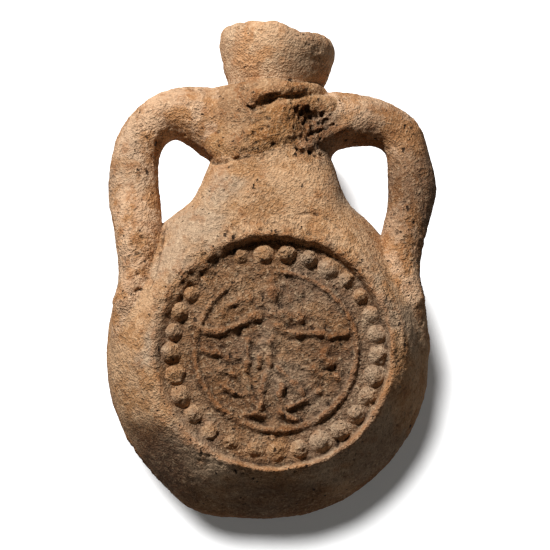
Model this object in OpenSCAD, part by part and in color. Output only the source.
// Two-handled lentoid clay flask with a stamped roundel, lying on its back.
// Its two pressed halves, neck, handles and luting clay are separate solids.
// Millimetres. Z is up out of the front roundel, and Y runs from the body to the mouth.

/* [Body] */
// Radius of the round body at its seam
body_r = 31.9; // [29:0.1:35]
// Height of one half, from the seam to the flat round its roundel
half_h = 14; // [12:0.25:17]
// Thickness of the clay at the sides of a half
wall = 4; // [3:0.25:4.5]
// Thickness of the clay behind the stamped field
floor_t = 3.5; // [2.5:0.25:4.5]
// Fullness of the sides: 1 is a straight slope, 2 is a round one
side_fullness = 1.35; // [1.2:0.05:1.8]
// Fullness of the shoulder under the neck
neck_fullness = 2.6; // [2:0.1:3.5]
// How much further than round the body swells towards its top
egg = 3; // [1:0.25:4]
// Rise of the shoulder under the neck
shoulder_rise = 11; // [9:0.25:12]
// Half angle of the shoulder
shoulder_angle = 20.5; // [19:0.5:23]
// Angle by which the shoulder is turned to the right
shoulder_turn = 1.5; // [0:0.5:3]
// How far the blunt corner at the lower left stands out of the round
corner_rise = 1.5; // [0:0.1:2]
// Half angle of that corner
corner_angle = 13; // [9:0.5:18]

/* [Roundel] */
// Sideways place of the roundel on the body
roundel_x = 1.3; // [-1.5:0.1:1.5]
// Lengthways place of the roundel on the body
roundel_y = -0.4; // [-1:0.1:1]
// Radius of the crest of the raised edge
ridge_r = 24; // [23:0.1:25]
// Height of the raised edge over the flat of the body
ridge_h = 1; // [0.6:0.1:1.6]
// Width of the raised edge at its foot
ridge_w = 3.4; // [2.6:0.1:4]
// Depth of the stamped field under the flat of the body
field_sink = 1.1; // [0.6:0.1:1.6]
// Number of beads round the field
bead_count = 29; // [20:1:31]
// Radius of the circle of beads
bead_circle_r = 20.4; // [19.6:0.1:20.8]
// Radius of a bead
bead_r = 1.7; // [1.3:0.1:1.9]
// Height of a bead over the field
bead_h = 1.35; // [0.8:0.05:1.8]
// Radius of the fine ring inside the beads
ring_r = 16.2; // [15.5:0.1:17]
// Width of the fine ring
ring_w = 1.5; // [1:0.1:2]
// Height of the fine ring over the field
ring_h = 0.6; // [0.3:0.05:1]
// Height of the figure's relief over the field
relief_h = 0.9; // [0.5:0.05:1.2]

/* [Neck] */
// Radius of the bore that takes the stopper
bore_r = 4.5; // [3.5:0.1:5.5]
// Outer radius of the neck inside the luting clay
neck_r = 9.2; // [8:0.1:9.6]
// Outer radius of the mouth
mouth_r = 11.8; // [10.6:0.1:12.4]
// Inner radius of the mouth at its lip
lip_r = 7.6; // [6.4:0.1:8.4]
// Height of the flared mouth over the collar
mouth_h = 13; // [10:0.25:16]
// Depth of the funnel inside the mouth
funnel_h = 9; // [6:0.25:10]
// Depth to which the neck is set into the shoulder
neck_sink = 14.9; // [13:0.1:17]
// Length of the neck from its lower end to the collar
neck_stem = 23.5; // [21:0.25:26]
// Angle by which the neck leans to the right
neck_lean = 5.2; // [0:0.2:6]
// Depth to which the right of the lip is worn down
chip_depth = 2.2; // [1:0.1:3]

/* [Handles] */
// Distance from the body's centre to the outside of the left handle
left_reach = 32.4; // [31:0.1:34]
// Distance from the body's centre to the outside of the right handle
right_reach = 34.1; // [32:0.1:36]
// Half the width of the left handle, seen from the front
left_r = 5.1; // [4:0.1:5.6]
// Half the width of the right handle, seen from the front
right_r = 4.8; // [4:0.1:5.6]
// Half the thickness of a handle, from front to back
handle_t = 5.6; // [4.5:0.1:6.5]
// Height of a handle's root over the top of the shoulder
handle_root_up = 2.5; // [1.5:0.1:4]
// Drop from a handle's root to the middle of its straight side
handle_side_drop = 13.9; // [12:0.1:16]
// Height of a handle's foot over the body's centre
handle_foot_y = 9; // [8:0.25:12]
// How far in front of the seam a handle's foot is pressed onto the body
foot_forward = 6.4; // [3:0.2:7]

/* [Luting clay] */
// Radius of the coil round the base of the mouth
collar_r = 2.1; // [1.6:0.1:2.6]
// Drop of the coil's free end at the front
collar_drop = 4; // [2:0.25:5]
// Half the length of the wrap along the neck
wrap_half_l = 7; // [6:0.1:8]
// Thickness of the wrap over the neck at its front and back
wrap_t = 3.3; // [3:0.1:4.4]
// How much thicker the wrap is on the left, and thinner on the right
wrap_lean = 0.8; // [0:0.1:1]
// Drop from the handles' roots to the middle of the wrap
wrap_drop = 1.9; // [1.5:0.1:2.5]
// Width of the bevel along each half's rim
bevel = 1.5; // [1:0.1:2]
// How far the seam strip stands out of the rim
strip_t = 0.5; // [0.3:0.05:1]
// Gap between luted pieces
joint_gap = 0.1; // [0.05:0.01:0.2]

/* [Hidden] */

steps = 56;           // points round the body
corner_at = 245;      // angle of the blunt corner, counted from the right
side_steps = 8;       // rings from the flat to the rim
inner_steps = 6;      // rings up the inside
shoulder_top_y = body_r + egg + shoulder_rise;
neck_foot_y = shoulder_top_y - neck_sink;
handle_root_y = shoulder_top_y + handle_root_up;
wrap_y = handle_root_y - wrap_drop;
field_z = half_h - field_sink;
edge_r = ridge_r + ridge_w / 2;                  // outer foot of the raised edge
field_r = ridge_r - ridge_w / 2 + 0.2;           // outer limit of the stamped field
crest_z = half_h + ridge_h;
inner_h = field_z - floor_t;
inner_flat_r = edge_r - wall;
neck_top_y = neck_foot_y + neck_stem + mouth_h;
neck_pivot_y = wrap_y - wrap_half_l;             // the neck leans about this point of its axis
flare_r = neck_r + (mouth_r - neck_r) * 0.92;    // outer radius half way up the mouth
bore_len = neck_stem + mouth_h - funnel_h;
collar_y = neck_stem - 1.1;                      // the coil's height along the neck
collar_low = collar_y - collar_r - joint_gap;    // where the wrap's top is cut off for the coil
wrap_level = wrap_y - neck_foot_y;               // the wrap's height along the neck
wrap_in = neck_r - 6 * joint_gap;                // the wrap's hidden inner radius

// The flask's box, from which its place on the table follows.
top_y = neck_pivot_y + (neck_top_y - neck_pivot_y) * cos(neck_lean) + mouth_r * sin(neck_lean) * 0.4;
left_edge = max(left_reach, outline(180) + strip_t);
origin_shift = [(left_edge - right_reach) / 2, (body_r + strip_t - top_y) / 2, crest_z];

clay = [0.66, 0.5, 0.35];
pressed_clay = [0.6, 0.45, 0.32];
rolled_clay = [0.7, 0.53, 0.37];
luting_clay = [0.64, 0.47, 0.33];

// Outline of the body at its seam, as a radius for each angle.
function outline(a) =
    body_r + egg * pow((1 + sin(a)) / 2, 3)
    + shoulder_rise * exp(-pow(abs(a - 90 + shoulder_turn) / shoulder_angle, 4))
    + corner_rise * exp(-pow((a - corner_at) / corner_angle, 2));

function on_roundel(a, r, z) = [roundel_x + r * cos(a), roundel_y + r * sin(a), z];

// Fullness of the side at each angle.
function fullness(a) = side_fullness + (neck_fullness - side_fullness) * exp(-pow(abs(a - 90) / 34, 4));

// A point part of the way out (t from 0 to 1) from a circle round the roundel to the outline less
// inset, and part of the way down from the height top to the height low.
function on_side(a, t, from_r, inset, low, top) =
    let (near = on_roundel(a, from_r, 0), far = (outline(a) - inset) * [cos(a), sin(a), 0], p = fullness(a))
    near + (far - near) * t + [0, 0, low + (top - low) * pow(1 - pow(t, p), 1 / p)];

// Steps from the flat to the rim, close together where the side turns.
function side_share(i, n) = pow(sin(90 * i / n), 1.1);

function ring_points(f) = [for (k = [0 : steps - 1]) f(360 * k / steps)];

// Half of the fine ring's and raised edge's cross-section, from the middle of the field outwards.
function roundel_profile(crest_flat) = [
    [6, field_z],
    [11, field_z],
    [ring_r - ring_w / 2, field_z],
    [ring_r - ring_w / 6, field_z + ring_h],
    [ring_r + ring_w / 6, field_z + ring_h],
    [ring_r + ring_w / 2, field_z],
    [field_r - 0.6, field_z],
    [field_r, field_z + 0.5],
    [ridge_r - crest_flat, crest_z],
    [ridge_r + crest_flat, crest_z],
    [edge_r, half_h],
];

function outer_rings(crest_flat) = concat(
    [for (p = roundel_profile(crest_flat)) ring_points(function(a) on_roundel(a, p[0], p[1]))],
    [for (i = [1 : side_steps])
        let (t = side_share(i, side_steps))
        ring_points(function(a) on_side(a, t, edge_r, 0, bevel, half_h))]);

function inner_rings() = concat(
    [ring_points(function(a) on_side(a, 1, edge_r, bevel, joint_gap / 2, half_h))],
    [for (i = [inner_steps : -1 : 0])
        let (t = side_share(i, inner_steps))
        ring_points(function(a) on_side(a, t, inner_flat_r, wall, joint_gap / 2, inner_h))]);

// A closed solid through rings of equal count, ended by a fan to the first and last point.
module lathe(first, rings, last) {
    n = len(rings[0]);
    m = len(rings);
    function at(i, k) = 1 + i * n + (k % n);
    points = concat([first], [for (ring = rings) each ring], [last]);
    faces = concat(
        [for (k = [0 : n - 1]) [0, at(0, k), at(0, k + 1)]],
        [for (i = [0 : m - 2], k = [0 : n - 1], half = [0, 1])
            half == 0 ? [at(i, k), at(i + 1, k), at(i + 1, k + 1)]
                      : [at(i, k), at(i + 1, k + 1), at(i, k + 1)]],
        [for (k = [0 : n - 1]) [1 + m * n, at(m - 1, k + 1), at(m - 1, k)]]);
    polyhedron(points, [for (f = faces) [f[2], f[1], f[0]]], convexity = 8);
}

// One pressed half, without its beads.
module half_shell(crest_flat) {
    lathe(on_roundel(0, 0, field_z),
          concat(outer_rings(crest_flat), inner_rings()),
          on_roundel(0, 0, inner_h));
}

// The solid that both halves fill, grown by the joint's gap, to seat luted pieces on.
module body_envelope() {
    function level(i, way) =
        let (t = side_share(i, side_steps))
        ring_points(function(a)
            on_side(a, t, edge_r, -joint_gap, way * bevel, way * (half_h + joint_gap)));
    lathe(on_roundel(0, 0, half_h + joint_gap),
          concat([for (i = [0 : side_steps]) level(i, 1)],
                 [for (i = [side_steps : -1 : 0]) level(i, -1)]),
          on_roundel(0, 0, -half_h - joint_gap));
}

// One bead: a dome with a broad foot, rougher where it is worn.
module bead(sides) {
    hull() {
        translate([0, 0, field_z + bead_h * 0.5])
            cylinder(r1 = bead_r * 0.78, r2 = bead_r * 0.36, h = bead_h * 0.5, $fn = sides);
        translate([0, 0, field_z - 0.5])
            cylinder(r = bead_r, h = 0.5 + bead_h * 0.1, $fn = sides);
    }
}

module bead_circle(sides) {
    for (i = [0 : bead_count - 1])
        translate(on_roundel(360 * (i + 0.5) / bead_count, bead_circle_r, 0))
            bead(sides);
}

// A low flat form of the relief with soft edges, through a few points of the field.
module relief(points, soft, height = relief_h) {
    hull()
        for (p = points)
            translate([roundel_x + p[0], roundel_y + p[1], field_z - 0.2])
                cylinder(r1 = soft, r2 = soft * 0.45, h = height + 0.2, $fn = 8);
}

// A worn shape like a resting animal at each side of the figure: its body, neck and folded leg.
module resting_shape(side) {
    relief([[12.4 * side, -2.2], [9.2 * side, -3.2]], 2);
    relief([[8.4 * side, -3], [7 * side, -0.4]], 1, relief_h * 0.8);
    relief([[12 * side, -4.8], [9.4 * side, -6.8]], 0.9, relief_h * 0.7);
}

// A standing figure in a short flared robe and a long cloak, its arms held out over two low shapes.
module standing_figure() {
    relief([[0.8, 11.2], [0.8, 12]], 2.2);
    relief([[0.8, 9], [0.8, 8]], 1.4, relief_h * 0.8);
    relief([[-2.8, 7.6], [2.6, 7.4], [-2.2, 2], [0.8, 1.8]], 1);
    relief([[-2.2, 2], [0.8, 1.8], [-4.2, -4.8], [2.4, -4.6]], 0.9);
    relief([[-3.2, 7.4], [-8.4, 4.7]], 1.3);
    relief([[-8.4, 4.7], [-14, 4.2]], 1, relief_h * 0.8);
    relief([[3, 7.2], [4.4, 4.8], [8.6, 3.9]], 1.1);
    relief([[8.6, 3.9], [14, 3.7]], 1, relief_h * 0.8);
    relief([[-3.6, 4], [-4.6, -1], [-5.4, -7.6]], 0.8, relief_h * 0.6);
    relief([[1.8, 1.6], [3, -3], [7.2, -8]], 0.9, relief_h * 0.6);
    relief([[-2.6, -5.4], [-3, -10.8]], 1.2);
    relief([[0.8, -5.4], [1.2, -10.8]], 1.2);
    relief([[-3, -11.6], [-5.6, -12]], 0.9);
    relief([[1.2, -11.6], [3.8, -12.2]], 0.9);
    resting_shape(1);
    resting_shape(-1);
}

// Puts what is drawn up the Z axis from the neck's lower end onto the leaning neck.
module along_neck() {
    translate([0, neck_pivot_y, 0])
        rotate([0, 0, -neck_lean])
            translate([0, neck_foot_y - neck_pivot_y, 0])
                rotate([-90, 0, 0])
                    children();
}

// The space that the neck takes, grown by a gap.
module neck_envelope(gap) {
    along_neck() {
        translate([0, 0, -neck_stem])
            cylinder(r = neck_r + gap, h = 2 * neck_stem, $fn = 48);
        translate([0, 0, neck_stem])
            cylinder(r1 = neck_r + gap, r2 = flare_r + gap, h = mouth_h / 2, $fn = 48);
        translate([0, 0, neck_stem + mouth_h / 2])
            cylinder(r1 = flare_r + gap, r2 = mouth_r + gap, h = mouth_h / 2, $fn = 48);
    }
}

module front_half() {
    color(pressed_clay)
        difference() {
            union() {
                half_shell(0.35);
                bead_circle(8);
                standing_figure();
            }
            neck_envelope(joint_gap);
        }
}

// The twin of the front half. Its raised edge is worn flat, and the flask lies on it.
module back_half() {
    color(pressed_clay)
        difference() {
            mirror([0, 0, 1])
                union() {
                    half_shell(1.2);
                    bead_circle(6);
                }
            neck_envelope(joint_gap);
        }
}

module neck() {
    lip_round = (mouth_r - lip_r) / 2;
    top = neck_stem + mouth_h;
    chip_r = 2.6 * mouth_r;
    profile = [
        [bore_r, 0],
        [neck_r - 1, 0],
        [neck_r, 2.5],
        [neck_r, neck_stem],
        [flare_r, neck_stem + mouth_h / 2],
        [mouth_r, top - lip_round],
        for (a = [15 : 30 : 165])
            [(mouth_r + lip_r) / 2 + lip_round * cos(a), top - lip_round + lip_round * sin(a)],
        [lip_r, top - lip_round],
        [bore_r, bore_len],
    ];
    color(clay)
        difference() {
            along_neck()
                rotate_extrude($fn = 96)
                    polygon(profile);
            // The lip is worn down on the right.
            along_neck()
                translate([mouth_r * 0.95, 0, top + chip_r - chip_depth])
                    rotate([90, 0, 0])
                        cylinder(r = chip_r, h = 4 * mouth_r, center = true, $fn = 96);
        }
}

// A chain of sections, each a flat disc, joined to the next by its hull.
module section_chain(sections, sides) {
    module section(s) {
        translate(s[0])
            multmatrix([[s[1][0], s[2][0], s[3][0], 0],
                        [s[1][1], s[2][1], s[3][1], 0],
                        [s[1][2], s[2][2], s[3][2], 0]])
                cylinder(r = 1, h = 0.3, center = true, $fn = sides);
    }
    for (i = [0 : len(sections) - 2])
        hull() {
            section(sections[i]);
            section(sections[i + 1]);
        }
}

function bezier(p, t) =
    pow(1 - t, 3) * p[0] + 3 * t * pow(1 - t, 2) * p[1] + 3 * t * t * (1 - t) * p[2] + t * t * t * p[3];

function bezier_slope(p, t) =
    3 * pow(1 - t, 2) * (p[1] - p[0]) + 6 * t * (1 - t) * (p[2] - p[1]) + 3 * t * t * (p[3] - p[2]);

function unit(v) = v / norm(v);

// An elliptical section across a path in the XY plane: its place, its two half axes and its normal.
function across(place, slope, half_w, half_t) =
    let (along = unit([slope[0], slope[1], 0]))
    [place, half_w * [along[1], -along[0], 0], [0, 0, half_t], along];

// The handle's centre line: from its root on the neck over the elbow, then down to its foot, which
// dies out in the side of the body.
function handle_sections(side, reach, half_w, lift, fall) =
    let (x = reach - half_w,
         mid_y = handle_root_y - handle_side_drop,
         mid = [side * x, mid_y, 1],
         foot_x = body_r + 0.2 - 0.7 * half_w,
         foot = [side * foot_x, handle_foot_y, foot_forward],
         upper = [[side * (neck_r + 0.2), handle_root_y - 0.9, 1.5],
                  [side * (x - 4.8), handle_root_y + lift, 1.2],
                  [side * (x + 0.5), handle_root_y - fall, 1],
                  mid],
         lower = [mid,
                  [side * (x - 0.2), mid_y - 6.3, 1],
                  [side * (foot_x - 4.2), handle_foot_y + 13, foot_forward * 0.9],
                  foot])
    concat(
        [for (i = [0 : 8])
            let (t = i / 8)
            across(bezier(upper, t), bezier_slope(upper, t),
                   half_w * (1 - 0.12 * sin(180 * t) + 0.32 * pow(1 - t, 3)),
                   handle_t * (1 + 0.1 * pow(1 - t, 2)))],
        [for (i = [1 : 8])
            let (t = i / 8)
            across(bezier(lower, t), bezier_slope(lower, t),
                   half_w * (1 - 0.3 * pow(t, 2)), handle_t * (1 + 0.12 * pow(t, 2)))],
        [across(foot + [-0.6 * side, -5, -1.6], [0, -1, 0], half_w * 0.3, handle_t * 0.4)]);

function left_sections() = handle_sections(-1, left_reach, left_r, 4.2, 2.6);

function right_sections() = handle_sections(1, right_reach, right_r, 2.5, 0.9);

module handle(sections) {
    color(rolled_clay)
        difference() {
            section_chain(sections, 14);
            body_envelope();
            neck_envelope(joint_gap);
            collar_room();
        }
}

module left_handle() {
    handle(left_sections());
}

module right_handle() {
    handle(right_sections());
}

// A section of clay round the neck, at an angle counted from the right: 90 degrees is the back.
function round_neck(a, radius, y, half_r, half_y) =
    [[radius * cos(a), radius * sin(a), y],
     half_r * [cos(a), sin(a), 0], [0, 0, half_y], [-sin(a), cos(a), 0]];

// Distance from the neck's axis to its surface, or to the wrap's where that is luted over it.
function seat_at(a, h) =
    let (neck = neck_r + max(0, h - neck_stem) * (flare_r - neck_r) / (mouth_h / 2),
         rise = (min(h, collar_low) - wrap_level) / wrap_half(a))
    h > collar_low + collar_r / 2 ? neck : wrap_in + wrap_out(a) * sqrt(max(0, 1 - rise * rise));

// The coil of clay round the base of the mouth. Its free end hangs down at the front, over the wrap.
module neck_collar() {
    turns = 36;
    start = 231;
    sweep = 350;
    function drop(share) = collar_drop * pow(max(0, 1 - share * 5), 1.5);
    function section(share) =
        let (a = start + sweep * share,
             half_y = collar_r * (1 - 0.25 * pow(share, 6)),
             reach = collar_r * (1.5 - 0.6 * drop(share) / collar_drop),
             arc = [for (b = [90 : -30 : -90]) [half_y * sin(b), reach * cos(b)]],
             back = [for (b = [-60 : 30 : 60]) [half_y * b / 90, 0]])
        [for (q = concat(arc, back))
            let (h = collar_y - drop(share) + q[0], r = seat_at(a, h) + joint_gap + q[1])
            [r * cos(a), r * sin(a), h]];
    rings = [for (i = [turns : -1 : 0]) section(i / turns)];
    color(luting_clay)
        along_neck()
            lathe(middle(rings[0]), rings, middle(rings[turns]));
}

// The wrap's thickness and half length at each angle round the neck. It is fullest on the left.
function wrap_out(a) = wrap_t + neck_r - wrap_in - wrap_lean * cos(a);

function wrap_half(a) = wrap_half_l - 0.6 * wrap_lean * cos(a);

// The thick clay wrapped round the lower neck, over both handles' roots.
module shoulder_wrap() {
    rounds = 16;
    function section(a) = round_neck(a, wrap_in, wrap_level, wrap_out(a), wrap_half(a));
    color(luting_clay)
        difference() {
            along_neck()
                for (i = [0 : rounds - 1])
                    section_chain([section(360 * i / rounds), section(360 * (i + 1) / rounds)], 14);
            body_envelope();
            neck_envelope(joint_gap);
            collar_space();
            left_root_space();
            right_root_space();
        }
}

// The room that the coil takes beside the neck.
module collar_room() {
    along_neck()
        rotate_extrude($fn = 48)
            translate([neck_r + 0.4, collar_y])
                scale([1.5 * collar_r + 2 * joint_gap, collar_r + joint_gap])
                    circle(1, $fn = 24);
}

module collar_space() {
    along_neck()
        translate([0, 0, collar_low])
            cylinder(r = neck_r + 3 * collar_r, h = mouth_h, $fn = 48);
}

module left_root_space() {
    section_chain(grown(left_sections()), 14);
}

module right_root_space() {
    section_chain(grown(right_sections()), 14);
}

// The same sections with half axes longer by the joint's gap.
function grown(sections) =
    [for (s = sections)
        [s[0], s[1] * (1 + joint_gap / norm(s[1])), s[2] * (1 + joint_gap / norm(s[2])), s[3]]];

// The strip of clay that fills the bevels of the two rims, from one handle's foot round to the other's.
module seam_strip() {
    start = 176;
    sweep = 188;
    count = 48;
    hide = joint_gap * 1.5;
    function section(a) =
        [for (p = [[-bevel + hide, 0], [-hide, bevel - hide], [strip_t * 0.7, bevel * 0.6], [strip_t, 0],
                   [strip_t * 0.7, -bevel * 0.6], [-hide, -bevel + hide]])
            let (r = outline(a % 360) + p[0])
            [r * cos(a), r * sin(a), p[1]]];
    rings = [for (i = [count : -1 : 0]) section(start + sweep * i / count)];
    color(luting_clay)
        lathe(middle(rings[0]), rings, middle(rings[count]));
}

function middle(points) = [for (v = [0 : 2]) (min([for (p = points) p[v]]) + max([for (p = points) p[v]])) / 2];

module place() {
    translate(origin_shift)
        children();
}

place() front_half();
place() back_half();
place() seam_strip();
place() neck();
place() neck_collar();
place() shoulder_wrap();
place() left_handle();
place() right_handle();
